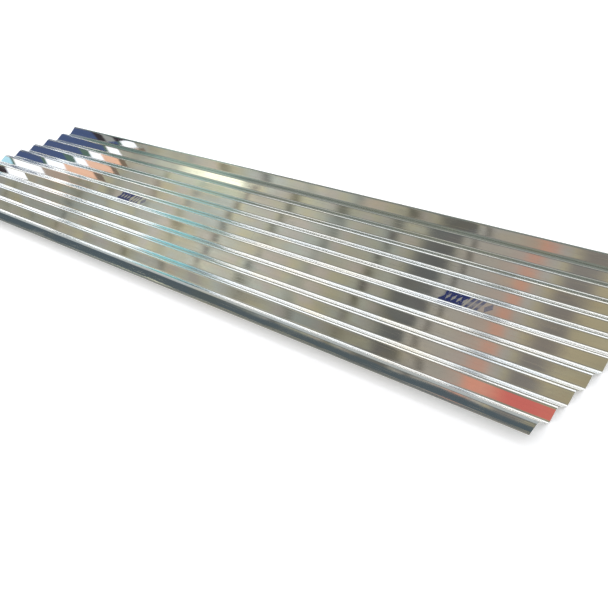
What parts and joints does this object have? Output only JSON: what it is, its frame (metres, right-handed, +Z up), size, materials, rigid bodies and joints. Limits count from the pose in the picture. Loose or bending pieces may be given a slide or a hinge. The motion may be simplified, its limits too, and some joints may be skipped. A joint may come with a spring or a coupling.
{
  "type": "corrugated metal sheet",
  "caption": "Long thin roofing sheet of galvanised steel, roll-formed into parallel rounded waves, for cladding roofs, walls and fences.",
  "frame": {"origin": "under the middle of the sheet, on the surface that the troughs rest on", "axes": "+X along the corrugations, +Y across them towards the side edge that ends on a crest, +Z up"},
  "size_m": [3.048, 0.8002, 0.018],
  "materials": {
    "galvanised_steel": "bright hot-dip galvanised, faintly spangled and streaked, with dull handling smudges"
  },
  "bodies": {
    "root": {"corrugated_sheet": "galvanised_steel"}
  },
  "joints": []
}
